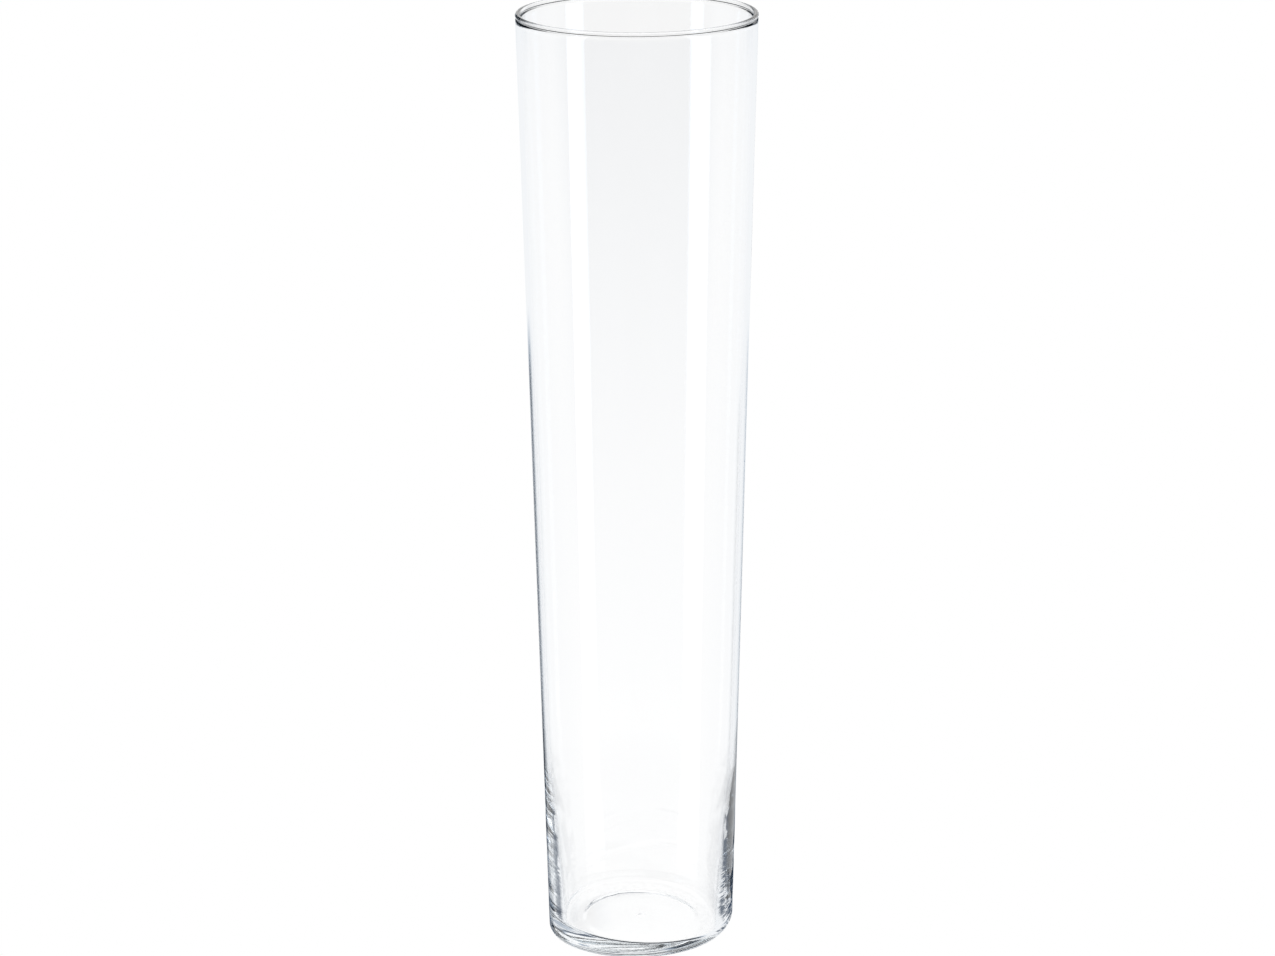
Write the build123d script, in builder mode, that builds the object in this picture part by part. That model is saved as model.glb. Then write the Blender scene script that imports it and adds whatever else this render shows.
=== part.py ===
from build123d import *

import os

# Tall conical vase of clear glass for cut flowers and branches.
#
# The real vase is one continuous piece of glass: blown in a mould, cracked off at the top and
# fire-polished there. It is modelled as the three zones that it is made in, which meet face to face:
#   base  the thick solid floor, with its foot ring, push-up and rounded heel
#   wall  the conical wall, which grows thicker towards the base
#   rim   the round bead that fire-polishing leaves on the cut edge
#
# Millimetres. +Z is up, and the origin is the centre of the circle that the foot ring stands on.

# Overall size
HEIGHT = 700.0  # foot ring to the top of the rim
RIM_DIAMETER = 174.0  # over the bead
BASE_DIAMETER = 138.5  # just above the heel

# Glass thickness
WALL_THICKNESS = 3.4  # the upper wall
WALL_FLARE_START = 128.0  # below this height the wall thickens
WALL_FLARE = 0.0625  # thickness gained for each millimetre of height below that
FLARE_BLEND_RADIUS = 700.0  # eases the inside from the even wall into the flare
FLOOR_THICKNESS = 10.8  # foot ring plane to the inside floor
FLOOR_CROWN = 0.5  # how much the middle of the inside floor stands above its edge
FLOOR_FILLET = 3.6  # inside corner between floor and wall

# Underside
HEEL_RADIUS = 10.5  # outside corner between foot ring and wall
FOOT_INNER_RADIUS = 47.0  # inner edge of the flat ring that the vase stands on
PUSH_UP_RADIUS = 41.0  # outer edge of the hollow inside the foot ring
PUSH_UP_EDGE_HEIGHT = 0.7
PUSH_UP_HEIGHT = 1.5  # at the centre
PUSH_UP_BLEND = 5.0  # rounds both ends of the slope from the foot ring to the hollow
VALVE_MARK_RADIUS = 3.6  # shallow round dimple that the mould's ejector leaves in the centre
VALVE_MARK_DEPTH = 0.35

# Rim
BEAD_DIAMETER = 3.6
BEAD_BLEND = 3.0  # rounds the waist where the bead runs into the wall

# Where the three zones meet
BASE_TOP = 24.0
RIM_BOTTOM = 690.0

BEAD_RADIUS = BEAD_DIAMETER / 2
BASE_RADIUS = BASE_DIAMETER / 2
BEAD_HEIGHT = HEIGHT - BEAD_RADIUS
BEAD_CENTRE_RADIUS = RIM_DIAMETER / 2 - BEAD_RADIUS
WALL_TOP_RADIUS = BEAD_CENTRE_RADIUS + WALL_THICKNESS / 2
TAPER = (WALL_TOP_RADIUS - BASE_RADIUS) / (BEAD_HEIGHT - HEEL_RADIUS)


def outer_radius(height):
    """Radius of the straight conical outside of the wall."""
    return BASE_RADIUS + TAPER * (height - HEEL_RADIUS)


def inner_radius(height):
    """Radius of the inside of the wall, before the flare and the floor are blended in."""
    flare = WALL_FLARE * max(WALL_FLARE_START - height, 0.0)
    return outer_radius(height) - WALL_THICKNESS - flare


def outer_point(height):
    return (outer_radius(height), height)


def inner_point(height):
    return (inner_radius(height), height)


def corner_at(outline, point):
    """The corner of an outline that lies at a given (radius, height)."""
    return outline.vertices().sort_by_distance((*point, 0.0))[0]


# Base: floor, heel, foot ring and push-up, with the start of the wall round it
inside_corner = inner_point(FLOOR_THICKNESS)
foot_edge = (FOOT_INNER_RADIUS, 0.0)
push_up_edge = (PUSH_UP_RADIUS, PUSH_UP_EDGE_HEIGHT)

with BuildPart() as base:
    with BuildSketch(Plane.XZ) as base_outline:
        with BuildLine():
            Polyline(foot_edge, (BASE_RADIUS - HEEL_RADIUS, 0.0))
            RadiusArc((BASE_RADIUS - HEEL_RADIUS, 0.0), (BASE_RADIUS, HEEL_RADIUS), -HEEL_RADIUS)
            Polyline(
                (BASE_RADIUS, HEEL_RADIUS),
                outer_point(BASE_TOP),
                inner_point(BASE_TOP),
                inside_corner,
            )
            TangentArc(
                (0.0, FLOOR_THICKNESS + FLOOR_CROWN),
                inside_corner,
                tangent=(1.0, 0.0),
                tangent_from_first=True,
            )
            Line((0.0, FLOOR_THICKNESS + FLOOR_CROWN), (0.0, PUSH_UP_HEIGHT))
            TangentArc(
                (0.0, PUSH_UP_HEIGHT),
                push_up_edge,
                tangent=(1.0, 0.0),
                tangent_from_first=True,
            )
            Line(push_up_edge, foot_edge)
        make_face()
        fillet(corner_at(base_outline, inside_corner), FLOOR_FILLET)
        fillet(corner_at(base_outline, foot_edge), PUSH_UP_BLEND)
        fillet(corner_at(base_outline, push_up_edge), PUSH_UP_BLEND)
    revolve(axis=Axis.Z)
    # The ejector's dimple is the cap of a sphere, sunk into the middle of the push-up.
    valve_sphere_radius = (VALVE_MARK_RADIUS**2 + VALVE_MARK_DEPTH**2) / (2 * VALVE_MARK_DEPTH)
    with Locations((0.0, 0.0, PUSH_UP_HEIGHT + VALVE_MARK_DEPTH - valve_sphere_radius)):
        Sphere(valve_sphere_radius, mode=Mode.SUBTRACT)
base.part.label = "base"

# Wall: even above the flare, thicker towards the base
flare_point = inner_point(WALL_FLARE_START)

with BuildPart() as wall:
    with BuildSketch(Plane.XZ) as wall_outline:
        with BuildLine():
            Polyline(
                outer_point(BASE_TOP),
                outer_point(RIM_BOTTOM),
                inner_point(RIM_BOTTOM),
                flare_point,
                inner_point(BASE_TOP),
                close=True,
            )
        make_face()
        fillet(corner_at(wall_outline, flare_point), FLARE_BLEND_RADIUS)
    revolve(axis=Axis.Z)
wall.part.label = "wall"

# Rim: the last of the wall, run into a round bead
with BuildPart() as rim:
    with BuildSketch(Plane.XZ) as rim_outline:
        with BuildLine():
            Polyline(
                outer_point(RIM_BOTTOM),
                outer_point(BEAD_HEIGHT),
                inner_point(BEAD_HEIGHT),
                inner_point(RIM_BOTTOM),
                close=True,
            )
        make_face()
        with Locations((BEAD_CENTRE_RADIUS, BEAD_HEIGHT)):
            Circle(BEAD_RADIUS)
        waist = rim_outline.vertices().sort_by(Axis.Y)[2:4]  # the two above the bottom corners
        fillet(waist, BEAD_BLEND)
    revolve(axis=Axis.Z)
rim.part.label = "rim"

os.makedirs("parts", exist_ok=True)
for zone in (base, wall, rim):
    export_step(zone.part, f"parts/{zone.part.label}.step")
    print(zone.part.label, "volume", round(zone.part.volume / 1000, 1), "cm3", zone.part.bounding_box())
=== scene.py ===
import math

import bpy
from mathutils import Matrix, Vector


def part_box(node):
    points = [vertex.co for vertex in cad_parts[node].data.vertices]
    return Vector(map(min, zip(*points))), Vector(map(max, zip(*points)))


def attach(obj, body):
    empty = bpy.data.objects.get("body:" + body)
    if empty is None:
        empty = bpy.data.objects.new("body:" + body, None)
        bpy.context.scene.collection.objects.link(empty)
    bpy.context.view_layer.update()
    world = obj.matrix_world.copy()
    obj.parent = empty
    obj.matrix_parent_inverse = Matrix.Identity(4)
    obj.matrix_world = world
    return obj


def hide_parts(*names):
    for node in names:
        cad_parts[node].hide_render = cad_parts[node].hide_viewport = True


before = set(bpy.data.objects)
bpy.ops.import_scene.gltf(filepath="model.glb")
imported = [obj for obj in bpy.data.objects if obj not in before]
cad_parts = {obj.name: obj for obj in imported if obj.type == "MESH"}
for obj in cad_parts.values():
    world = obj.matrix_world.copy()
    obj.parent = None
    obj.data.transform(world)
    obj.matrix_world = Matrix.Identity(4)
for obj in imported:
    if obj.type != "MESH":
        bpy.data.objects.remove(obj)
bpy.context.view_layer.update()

# A tall conical vase of clear glass on a white sheet. Metres. +Z is up, and the origin is the centre of the
# foot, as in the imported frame.
#
# Clear glass shows little but its surroundings. Seen directly, the studio is plain and white. What the
# glass reflects is another, darker studio with two bright strips, and two dark cards behind the foot. Light
# that has gone through the glass meets a dark band besides. So this isn't a consistent room: it is staged.

MM = 0.001
DEGREES = 180 / math.pi  # in one radian

# ---------------------------------------------------------------- sizes, from the frame
base_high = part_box("base")[1]
wall_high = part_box("wall")[1]
rim_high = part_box("rim")[1]

HEIGHT = rim_high.z
RIM_RADIUS = rim_high.x
TAPER = (wall_high.x - base_high.x) / (wall_high.z - base_high.z)

# Glass thickness, as the CAD model has it
WALL_THICKNESS = 3.4 * MM
FLARE_START = 128 * MM  # below this height the wall thickens towards the base
FLARE = 0.0625  # thickness gained for each metre of height below that
FLARE_EASE = 9 * MM
FLARE_STRAIGHT = 30  # this many eases below its start, the flare is a straight line
FLOOR_HEIGHT = 10.8 * MM  # of the inside floor, at its edge
FLOOR_CROWN = 0.5 * MM
FLOOR_FILLET = 3.6 * MM
HEEL_RADIUS = 10.5 * MM
FOOT_INNER_RADIUS = 47 * MM
PUSH_UP_RADIUS = 41 * MM
PUSH_UP_EDGE = 0.7 * MM
PUSH_UP_CROWN = 0.8 * MM
VALVE_RADIUS = 3.6 * MM
VALVE_FLAT = 0.45  # the part of its radius where the valve mark is at its full depth
VALVE_DEPTH = 0.35 * MM
BEAD_RADIUS = 1.8 * MM
WAIST_DROP = 1.3 * MM  # from the bead's centre down to where the waist runs into it
WAIST_LENGTH = 2.2 * MM

# How blown glass differs from the true shape
HEEL_UNEVEN = 5.0 * MM  # the heel is rounder by this on the +X side and sharper on the -X side
FLOOR_TILT = 0.055  # the inside floor rises this much per metre towards -X

# Depth of what is too fine for the mesh
RING_DEPTH = 0.06 * MM
GRAIN_DEPTH = 0.008 * MM
SWAY_DEPTH = 0.05 * MM

# ---------------------------------------------------------------- how fine the mesh is
SEGMENTS = 350  # round the vase
POLE_RADIUS = 0.6 * MM  # of the smallest ring of vertices, above and below
VALVE_ZONE = 6 * MM  # the underside is finer inside this radius
SLOPE_ZONE = 38 * MM  # and again outside this one, where it slopes down to the foot ring
LOWER_WALL_TOP = 135 * MM  # the wall is finer below this height
BEAD_START = HEIGHT - 12 * MM
VALVE_STEPS = 8
UNDERSIDE_STEPS = 10
FOOT_STEPS = 3
HEEL_STEPS = 12
LOWER_WALL_STEPS = 70
UPPER_WALL_STEPS = 16
BEAD_STEPS = 16
NECK_STEPS = 3
WAIST_STEPS = 5
FILLET_STEPS = 8
FLOOR_STEPS = 28

# ---------------------------------------------------------------- looks of the glass
REFRACTIVE_INDEX = 1.52
TINT_COLOUR = (0.80, 0.92, 1.0, 1)
TINT_DENSITY = 1.2  # for each metre of glass
# Pairs are where a soft edge begins and ends.
RING_FOOT = (4 * MM, 16 * MM)
RING_TOP = (50 * MM, 70 * MM)
RING_SIDES = (42 * MM, 58 * MM)  # distance from the middle at which the rings come to their full depth
RING_SHARE = 0.15  # of that depth, in front and behind
GRAIN_TOP = (2 * MM, 12 * MM)
SCUFF_TOP = (0.02 * MM, 0.3 * MM)
SCUFF_EDGE = (0.45, 0.65)
SCUFF_ROUGHNESS = (0.04, 0.22)
# Features for each metre along X, Y and Z
RING_SCALE = (5.0, 5.0, 300.0)
GRAIN_SCALE = (700.0, 700.0, 700.0)
SWAY_SCALE = (14.0, 14.0, 4.0)
SCUFF_SCALE = (260.0, 260.0, 260.0)

# ---------------------------------------------------------------- the studio that the glass reflects
# Brightness, where the white sheet is 1
SHEET_LEVEL = 1.06
ROOM_LEVEL = 0.03
TENT_LEVEL = 0.92
TENT_TOP_LEVEL = 0.12
DARK_LEVEL = 0.05
CEILING_LEVEL = 1.1
WIDE_STAND_LEVEL = 0.06
THIN_STAND_LEVEL = 0.4
STRIP_LEVEL = 1.5
SHADOW_TINT = (0.80, 1.03, 1.32, 1)  # what is dark is bluish

# Soft edges, as pairs of degrees. Up and down, 0 is level with the vase.
SHEET_FADE = (-21.0, -5.0)
TENT_FADE = (-11.0, -3.0)
CEILING_FADE = (22.0, 30.0)
FLAG_FOOT = (-7.5, -5.0)
GAP_FOOT = (-10.0, -8.0)
BACKDROP_FOOT = (-6.0, -3.0)
SKY_FOOT = (17.0, 25.0)
STAND_FOOT = (-27.0, -23.0)
STAND_TOP = (-15.0, -14.0)
SHADE_TOP = (-50.0, -40.0)
STRIP_FOOT = (-24.5, -22.0)
STRIP_TOP = (-5.0, -4.0)
# Round the vase
TENT_SIDE = (60.0, 95.0)  # from straight in front
GAP_SIDE = (26.0, 32.0)  # from straight behind
SKY_SIDE = (-5.0, 5.0)  # from straight behind, towards the left

# Bands round the vase, as degrees: the middle, half the width, and the softness of the edges
FLAGS = (43.0, 14.0, 4.0)  # from straight behind, on both sides
BACKDROP = (-12.0, 26.0, 4.0)  # these three from straight behind, towards the left
WIDE_STAND = (16.5, 6.0, 4.0)
THIN_STAND = (-14.0, 3.0, 2.5)
LEFT_STRIP = (-63.2, 7.1, 0.5)  # these two from straight in front, towards the right
RIGHT_STRIP = (65.2, 10.0, 0.5)

# A dark band that is seen only by light that has gone through the glass
THROUGH_FOOT = (9.0, 12.0)
THROUGH_TOP = (45.0, 60.0)

# The white sheet
SHEET_HALF = 30.0
SHEET_DROP = 0.5 * MM  # below the foot

# Dark cards behind the foot, one on each side
CARD_DISTANCE = 300 * MM
CARD_FROM = 3  # degrees from straight behind
CARD_TO = 85
CARD_LOW = -175 * MM
CARD_HIGH = 46 * MM
CARD_STEPS = 12
CARD_COLOUR = (0.04, 0.068, 0.115, 1)
# The lower row of dark on a card, cut by slits
LOWER_NEAR = (6.0, 10.0)
LOWER_FAR = (46.0, 58.0)
LOWER_TOP = (-60 * MM, -45 * MM)
SLIT_SCALE = (6.0, 6.0, 45.0)
SLIT_EDGE = (0.54, 0.58)
# The upper row, whose far edge slants
UPPER_NEAR = (3.0, 5.0)
UPPER_FAR = (8.0, 16.0)
UPPER_FOOT = (-44 * MM, -38 * MM)
UPPER_SLANT = 600.0  # degrees for each metre down

# The camera
LENS = 119.74
SENSOR_WIDTH = 36.0
CAMERA_PLACE = (-0.001, -3.00, 1.212)
CAMERA_TILT = 15.96  # degrees down
CAMERA_ROLL = -0.26

MAX_BOUNCES = 32
GLOSSY_BOUNCES = 24


def smooth_step(value, low, high):
    t = min(max((value - low) / (high - low), 0.0), 1.0)
    return t * t * (3 - 2 * t)


def outer_radius(z):
    return base_high.x + TAPER * (z - base_high.z)


def thickness(z):
    below = (FLARE_START - z) / FLARE_EASE
    eased = FLARE_EASE * (below if below > FLARE_STRAIGHT else math.log1p(math.exp(below)))
    return WALL_THICKNESS + FLARE * eased


def inner_radius(z):
    return outer_radius(z) - thickness(z)


# ---------------------------------------------------------------- outline of the glass
def underside_height(r):
    """The flat foot ring, and the shallow push-up inside it with the mould's valve mark in the middle."""
    hollow = 1 - smooth_step(r, PUSH_UP_RADIUS, FOOT_INNER_RADIUS)
    crown = PUSH_UP_CROWN * (1 - min(r / PUSH_UP_RADIUS, 1.0) ** 2)
    valve = VALVE_DEPTH * (1 - smooth_step(r, VALVE_FLAT * VALVE_RADIUS, VALVE_RADIUS))
    return hollow * (PUSH_UP_EDGE + crown) + valve


def floor_height(r, angle):
    """Height of the inside floor, which is thicker towards -X."""
    return FLOOR_HEIGHT - FLOOR_TILT * r * math.cos(angle)


def spaced(start, end, count):
    """count values from start up to, but not including, end."""
    return [start + (end - start) * i / count for i in range(count)]


def arc(centre_r, centre_z, radius, first, last, count):
    """count points of an arc in the section, up to but not including its last angle, in degrees."""
    angles = [math.radians(a) for a in spaced(first, last, count)]
    return [(centre_r + radius * math.cos(a), centre_z + radius * math.sin(a)) for a in angles]


def bead():
    """The fire-polished bead, run into the wall by a soft waist on both sides."""
    centre_r = RIM_RADIUS - BEAD_RADIUS
    centre_z = HEIGHT - BEAD_RADIUS
    half_wall = WALL_THICKNESS / 2
    waist_high = centre_z - WAIST_DROP
    waist_low = waist_high - WAIST_LENGTH
    half_bead = math.sqrt(BEAD_RADIUS**2 - WAIST_DROP**2)
    outside = []
    inside = []
    for z in spaced(BEAD_START, waist_low, NECK_STEPS) + spaced(waist_low, waist_high, WAIST_STEPS):
        half = half_wall + (half_bead - half_wall) * smooth_step(z, waist_low, waist_high)
        middle = centre_r + TAPER * (z - centre_z)
        outside.append((middle + half, z))
        inside.append((middle - half, z))
    start = -math.degrees(math.asin(WAIST_DROP / BEAD_RADIUS))
    return outside + arc(centre_r, centre_z, BEAD_RADIUS, start, 180 - start, BEAD_STEPS) + inside[::-1]


def section(angle):
    """The glass's outline at one angle round the vase, as (radius, height): from the middle of the
    underside, out and up the outside, over the bead, and down the inside to the middle of the floor."""
    heel = HEEL_RADIUS + HEEL_UNEVEN * math.cos(angle)
    heel_centre = outer_radius(heel) - heel
    under = spaced(POLE_RADIUS, VALVE_ZONE, VALVE_STEPS)
    under += spaced(VALVE_ZONE, SLOPE_ZONE, UNDERSIDE_STEPS)
    under += spaced(SLOPE_ZONE, FOOT_INNER_RADIUS, UNDERSIDE_STEPS)
    upper_wall = spaced(LOWER_WALL_TOP, BEAD_START, UPPER_WALL_STEPS)
    points = [(r, underside_height(r)) for r in under]
    points += [(r, 0.0) for r in spaced(FOOT_INNER_RADIUS, heel_centre, FOOT_STEPS)]
    points += arc(heel_centre, heel, heel, -90, 0, HEEL_STEPS)
    points += [(outer_radius(z), z) for z in spaced(heel, LOWER_WALL_TOP, LOWER_WALL_STEPS)]
    points += [(outer_radius(z), z) for z in upper_wall]
    points += bead()
    points += [(inner_radius(z), z) for z in reversed(upper_wall)]
    corner = floor_height(inner_radius(FLOOR_HEIGHT), angle) + FLOOR_FILLET
    lower_wall = spaced(corner, LOWER_WALL_TOP, LOWER_WALL_STEPS)
    points += [(inner_radius(z), z) for z in reversed(lower_wall)]
    centre_r = inner_radius(corner) - FLOOR_FILLET
    points += arc(centre_r, corner, FLOOR_FILLET, 0, -90, FILLET_STEPS)[1:]
    for r in spaced(centre_r, POLE_RADIUS, FLOOR_STEPS):
        points.append((r, floor_height(r, angle) + FLOOR_CROWN * (1 - (r / centre_r) ** 2)))
    return points


def glass_mesh():
    """The outline at every angle, joined into one closed skin with a pole above and below."""
    angles = [2 * math.pi * k / SEGMENTS for k in range(SEGMENTS)]
    sections = [section(angle) for angle in angles]
    rings = len(sections[0])
    vertices = [(0.0, 0.0, underside_height(0.0))]
    for ring in range(rings):
        for angle, points in zip(angles, sections):
            r, z = points[ring]
            vertices.append((r * math.cos(angle), r * math.sin(angle), z))
    top = len(vertices)
    vertices.append((0.0, 0.0, FLOOR_HEIGHT + FLOOR_CROWN))
    faces = []
    for k in range(SEGMENTS):
        n = (k + 1) % SEGMENTS
        faces.append((0, 1 + n, 1 + k))
        for ring in range(rings - 1):
            a = 1 + ring * SEGMENTS
            b = a + SEGMENTS
            faces.append((a + k, a + n, b + n, b + k))
        last = 1 + (rings - 1) * SEGMENTS
        faces.append((last + k, last + n, top))
    mesh = bpy.data.meshes.new("vase_glass")
    mesh.from_pydata(vertices, [], faces)
    mesh.polygons.foreach_set("use_smooth", [True] * len(mesh.polygons))
    mesh.update()
    return mesh


# ---------------------------------------------------------------- materials and light
class Graph:
    """Small helper that writes node arithmetic as calls."""

    def __init__(self, tree):
        self.tree = tree
        tree.nodes.clear()

    def node(self, kind, **settings):
        made = self.tree.nodes.new(kind)
        for name, value in settings.items():
            setattr(made, name, value)
        return made

    def link(self, source, target):
        self.tree.links.new(source, target)

    def put(self, value, socket):
        if isinstance(value, bpy.types.NodeSocket):
            self.link(value, socket)
        else:
            socket.default_value = value

    def math(self, operation, *values, clamp=False):
        made = self.node("ShaderNodeMath", operation=operation, use_clamp=clamp)
        for value, socket in zip(values, made.inputs):
            self.put(value, socket)
        return made.outputs[0]

    def both(self, first, second):
        """1 where both of them are 1."""
        return self.math("MULTIPLY", first, second)

    def ramp(self, value, low, high, at_low=0.0, at_high=1.0):
        """A soft step from at_low, up to low, to at_high, from high on."""
        made = self.node("ShaderNodeMapRange", interpolation_type="SMOOTHSTEP")
        self.put(value, made.inputs["Value"])
        made.inputs["From Min"].default_value = low
        made.inputs["From Max"].default_value = high
        made.inputs["To Min"].default_value = at_low
        made.inputs["To Max"].default_value = at_high
        return made.outputs["Result"]

    def fall(self, value, low, high):
        """A soft step down, from 1 to 0."""
        return self.ramp(value, low, high, 1.0, 0.0)

    def band(self, value, centre, half_width, softness):
        """1 inside a band, 0 outside it."""
        away = self.math("ABSOLUTE", self.math("SUBTRACT", value, centre))
        return self.fall(away, half_width - softness, half_width + softness)

    def mixed(self, low, high, share):
        """low where share is 0, high where it is 1."""
        made = self.node("ShaderNodeMix", data_type="FLOAT")
        self.put(share, made.inputs[0])
        self.put(low, made.inputs[2])
        self.put(high, made.inputs[3])
        return made.outputs[0]

    def noise(self, place, scale, detail):
        """Noise whose features are 1/scale metres long along each axis."""
        stretched = self.node("ShaderNodeVectorMath", operation="MULTIPLY")
        self.link(place, stretched.inputs[0])
        stretched.inputs[1].default_value = scale
        made = self.node("ShaderNodeTexNoise")
        self.link(stretched.outputs[0], made.inputs["Vector"])
        made.inputs["Scale"].default_value = 1.0
        made.inputs["Detail"].default_value = detail
        return made.outputs["Fac"]

    def bump(self, height, depth, under=None):
        made = self.node("ShaderNodeBump")
        self.put(height, made.inputs["Height"])
        made.inputs["Distance"].default_value = depth
        if under is not None:
            self.link(under, made.inputs["Normal"])
        return made.outputs[0]

    def coordinates(self, kind):
        return self.node("ShaderNodeTexCoord").outputs[kind]

    def split(self, vector):
        made = self.node("ShaderNodeSeparateXYZ")
        self.link(vector, made.inputs[0])
        return made.outputs

    def reflected(self):
        """1 for light that has been reflected in the glass, 0 for the rest."""
        path = self.node("ShaderNodeLightPath")
        return self.math("GREATER_THAN", path.outputs["Glossy Depth"], 0.5)

    def transmitted(self):
        """1 for light that has gone through the glass, 0 for the rest."""
        path = self.node("ShaderNodeLightPath")
        return self.math("GREATER_THAN", path.outputs["Transmission Depth"], 0.5)


def clear_glass():
    """Blown glass: clear and polished, with settle rings low down, a grained heel and a scuffed foot ring."""
    material = bpy.data.materials.new("clear_glass")
    material.use_nodes = True
    g = Graph(material.node_tree)
    out = g.node("ShaderNodeOutputMaterial")
    glass = g.node("ShaderNodeBsdfPrincipled")
    glass.inputs["Base Color"].default_value = (1, 1, 1, 1)
    glass.inputs["IOR"].default_value = REFRACTIVE_INDEX
    glass.inputs["Transmission Weight"].default_value = 1.0
    g.link(glass.outputs[0], out.inputs["Surface"])

    place = g.coordinates("Object")
    parts = g.split(place)
    height = parts["Z"]
    thick_wall = g.both(g.ramp(height, *RING_FOOT), g.fall(height, *RING_TOP))
    beside = g.ramp(g.math("ABSOLUTE", parts["X"]), *RING_SIDES, RING_SHARE, 1.0)
    thick_wall = g.both(thick_wall, beside)
    settle = g.bump(g.both(g.noise(place, RING_SCALE, 1.0), thick_wall), RING_DEPTH)
    heel = g.fall(height, *GRAIN_TOP)
    mould = g.bump(g.both(g.noise(place, GRAIN_SCALE, 2.0), heel), GRAIN_DEPTH, settle)
    sway = g.bump(g.noise(place, SWAY_SCALE, 1.0), SWAY_DEPTH, mould)
    g.link(sway, glass.inputs["Normal"])

    foot = g.fall(height, *SCUFF_TOP)
    scuffs = g.ramp(g.noise(place, SCUFF_SCALE, 4.0), *SCUFF_EDGE, *SCUFF_ROUGHNESS)
    g.link(g.both(foot, scuffs), glass.inputs["Roughness"])

    tint = g.node("ShaderNodeVolumeAbsorption")
    tint.inputs["Color"].default_value = TINT_COLOUR
    tint.inputs["Density"].default_value = TINT_DENSITY
    g.link(tint.outputs[0], out.inputs["Volume"])
    return material


def reflected_studio(g):
    """For every direction: its elevation, and the brightness that the glass reflects from there, without and
    with the bright strips."""
    x, y, z = g.split(g.coordinates("Generated"))
    elevation = g.math("MULTIPLY", g.math("ARCSINE", z), DEGREES)
    azimuth = g.math("MULTIPLY", g.math("ARCTAN2", x, g.math("MULTIPLY", y, -1.0)), DEGREES)
    side = g.math("ABSOLUTE", azimuth)
    straight = g.math("SUBTRACT", 180.0, side)  # degrees away from straight behind the vase
    to_left = g.math("MULTIPLY", straight, g.math("SIGN", g.math("MULTIPLY", x, -1.0)))
    # In front, the bright sheet: near the vase it is white, further out it falls off to the dark room.
    front = g.ramp(elevation, *SHEET_FADE, SHEET_LEVEL, ROOM_LEVEL)
    # At the sides the pale walls of the tent stand close.
    walls = g.ramp(elevation, *TENT_FADE, TENT_LEVEL, TENT_TOP_LEVEL)
    level = g.mixed(front, walls, g.ramp(side, *TENT_SIDE))
    # Behind stands the lit backdrop, over a dark gap, and beside it a dark flag on each side.
    flags = g.both(g.band(straight, *FLAGS), g.ramp(elevation, *FLAG_FOOT))
    gap = g.both(g.fall(straight, *GAP_SIDE), g.ramp(elevation, *GAP_FOOT))
    dark = g.both(g.math("MAXIMUM", flags, gap), g.fall(elevation, *CEILING_FADE))
    level = g.mixed(level, DARK_LEVEL, dark)
    level = g.mixed(level, 1.0, g.both(g.band(to_left, *BACKDROP), g.ramp(elevation, *BACKDROP_FOOT)))
    # Over all of it is the ceiling. On the right it reaches down a little further and is a little dimmer.
    level = g.mixed(level, CEILING_LEVEL, g.ramp(elevation, *CEILING_FADE))
    level = g.mixed(level, 1.0, g.both(g.ramp(elevation, *SKY_FOOT), g.fall(to_left, *SKY_SIDE)))
    # A dark stand leans on the sheet to either side.
    stands = g.both(g.fall(elevation, *STAND_TOP), g.ramp(elevation, *STAND_FOOT))
    level = g.mixed(level, WIDE_STAND_LEVEL, g.both(g.band(to_left, *WIDE_STAND), stands))
    level = g.mixed(level, THIN_STAND_LEVEL, g.both(g.band(to_left, *THIN_STAND), stands))
    # The sheet right under the vase is in its own shade.
    level = g.mixed(level, DARK_LEVEL, g.fall(elevation, *SHADE_TOP))
    ends = g.both(g.ramp(elevation, *STRIP_FOOT), g.fall(elevation, *STRIP_TOP))
    strips = g.math("ADD", g.band(azimuth, *LEFT_STRIP), g.band(azimuth, *RIGHT_STRIP))
    strips = g.math("MULTIPLY", strips, g.math("MULTIPLY", ends, STRIP_LEVEL))
    return elevation, level, g.math("ADD", level, strips)


def studio_world():
    """White, but for a dark band that only light through the glass meets, and what the glass reflects."""
    world = bpy.data.worlds.new("studio")
    bpy.context.scene.world = world
    world.use_nodes = True
    g = Graph(world.node_tree)
    out = g.node("ShaderNodeOutputWorld")
    elevation, level, total = reflected_studio(g)
    reflected = g.reflected()
    high = g.both(g.ramp(elevation, *THROUGH_FOOT), g.fall(elevation, *THROUGH_TOP))
    through = g.mixed(1.0, DARK_LEVEL, g.both(high, g.transmitted()))
    tone = g.node("ShaderNodeMix", data_type="RGBA")
    g.link(g.both(g.math("SUBTRACT", 1.0, level, clamp=True), reflected), tone.inputs[0])
    tone.inputs[6].default_value = (1, 1, 1, 1)
    tone.inputs[7].default_value = SHADOW_TINT
    back_light = g.node("ShaderNodeBackground")
    g.link(tone.outputs[2], back_light.inputs["Color"])
    g.link(g.mixed(through, total, reflected), back_light.inputs["Strength"])
    g.link(back_light.outputs[0], out.inputs["Surface"])


def two_way_material(name, colour, share):
    """Glows in one colour where share is 1 and is clear where it is 0. share is a function of the graph."""
    material = bpy.data.materials.new(name)
    material.use_nodes = True
    g = Graph(material.node_tree)
    out = g.node("ShaderNodeOutputMaterial")
    glow = g.node("ShaderNodeEmission")
    glow.inputs["Color"].default_value = colour
    clear = g.node("ShaderNodeBsdfTransparent")
    mix = g.node("ShaderNodeMixShader")
    g.link(share(g), mix.inputs[0])
    g.link(clear.outputs[0], mix.inputs[1])
    g.link(glow.outputs[0], mix.inputs[2])
    g.link(mix.outputs[0], out.inputs["Surface"])
    return material


def seen_directly(g):
    """1 for light that the glass hasn't reflected, 0 for the rest."""
    return g.math("SUBTRACT", 1.0, g.reflected())


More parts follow.
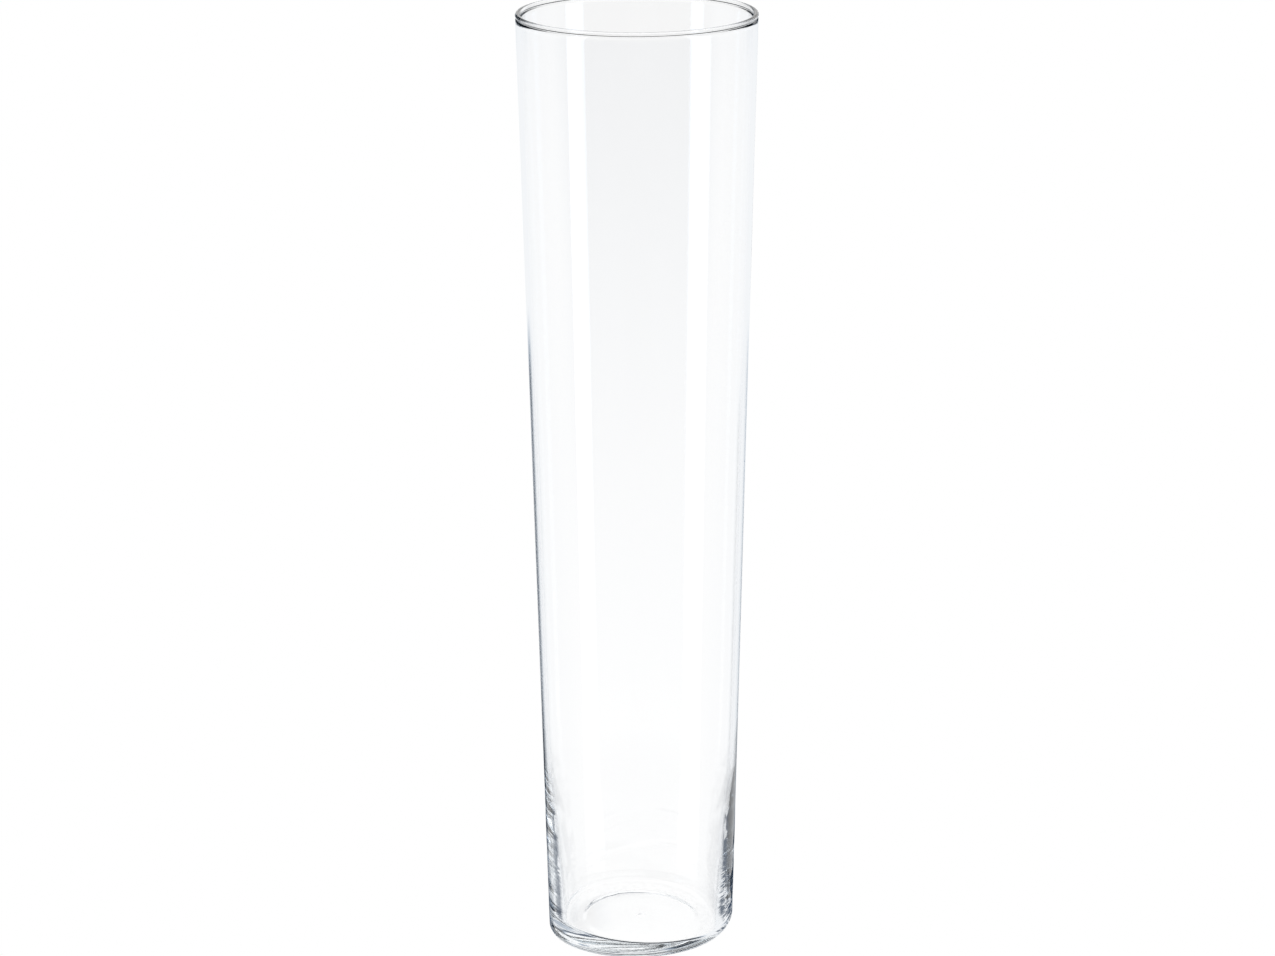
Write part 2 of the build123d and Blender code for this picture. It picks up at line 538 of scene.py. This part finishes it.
def card_cover(g):
    """Where a card is dark: a lower row cut by slits, and an upper row whose far edge slants."""
    place = g.coordinates("Object")
    x, y, z = g.split(place)
    angle = g.math("MULTIPLY", g.math("ARCTAN2", g.math("ABSOLUTE", x), y), DEGREES)
    lower = g.both(g.ramp(angle, *LOWER_NEAR), g.fall(angle, *LOWER_FAR))
    lower = g.both(lower, g.fall(z, *LOWER_TOP))
    lower = g.both(lower, g.fall(g.noise(place, SLIT_SCALE, 1.0), *SLIT_EDGE))
    slant = g.math("ADD", angle, g.math("MULTIPLY", z, UPPER_SLANT))
    upper = g.both(g.fall(slant, *UPPER_FAR), g.ramp(z, *UPPER_FOOT))
    upper = g.both(upper, g.ramp(angle, *UPPER_NEAR))
    return g.both(g.math("MAXIMUM", upper, lower), g.reflected())


def floor():
    """The white sheet, which the glass doesn't reflect."""
    left, right = -SHEET_HALF, SHEET_HALF
    corners = [(left, left), (right, left), (right, right), (left, right)]
    mesh = bpy.data.meshes.new("floor")
    mesh.from_pydata([(x, y, -SHEET_DROP) for x, y in corners], [], [(0, 1, 2, 3)])
    made = bpy.data.objects.new("floor", mesh)
    bpy.context.scene.collection.objects.link(made)
    mesh.materials.append(two_way_material("white_sheet", (1, 1, 1, 1), seen_directly))


def cards():
    """Two low dark cards behind the foot, which are seen in the glass only."""
    material = two_way_material("dark_card", CARD_COLOUR, card_cover)
    for name, side in (("card_left", -1), ("card_right", 1)):
        vertices = []
        faces = []
        for k in range(CARD_STEPS + 1):
            angle = math.radians(CARD_FROM + (CARD_TO - CARD_FROM) * k / CARD_STEPS)
            x = side * CARD_DISTANCE * math.sin(angle)
            y = CARD_DISTANCE * math.cos(angle)
            vertices += [(x, y, CARD_LOW), (x, y, CARD_HIGH)]
        for k in range(CARD_STEPS):
            faces.append((2 * k, 2 * k + 2, 2 * k + 3, 2 * k + 1))
        mesh = bpy.data.meshes.new(name)
        mesh.from_pydata(vertices, [], faces)
        made = bpy.data.objects.new(name, mesh)
        bpy.context.scene.collection.objects.link(made)
        mesh.materials.append(material)


def camera():
    data = bpy.data.cameras.new("camera")
    data.sensor_width = SENSOR_WIDTH
    data.lens = LENS
    made = bpy.data.objects.new("camera", data)
    bpy.context.scene.collection.objects.link(made)
    tilt = Matrix.Rotation(math.radians(90 - CAMERA_TILT), 4, "X")
    roll = Matrix.Rotation(math.radians(CAMERA_ROLL), 4, "Z")
    made.matrix_world = Matrix.Translation(CAMERA_PLACE) @ tilt @ roll
    bpy.context.scene.camera = made


camera()
floor()
cards()
studio_world()

vase = bpy.data.objects.new("vase_glass", glass_mesh())
bpy.context.scene.collection.objects.link(vase)
vase.data.materials.append(clear_glass())
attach(vase, "root")
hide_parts("base", "wall", "rim")

scene = bpy.context.scene
scene.view_settings.view_transform = "Standard"
scene.cycles.max_bounces = MAX_BOUNCES
scene.cycles.glossy_bounces = GLOSSY_BOUNCES
scene.cycles.transmission_bounces = MAX_BOUNCES
scene.cycles.transparent_max_bounces = MAX_BOUNCES
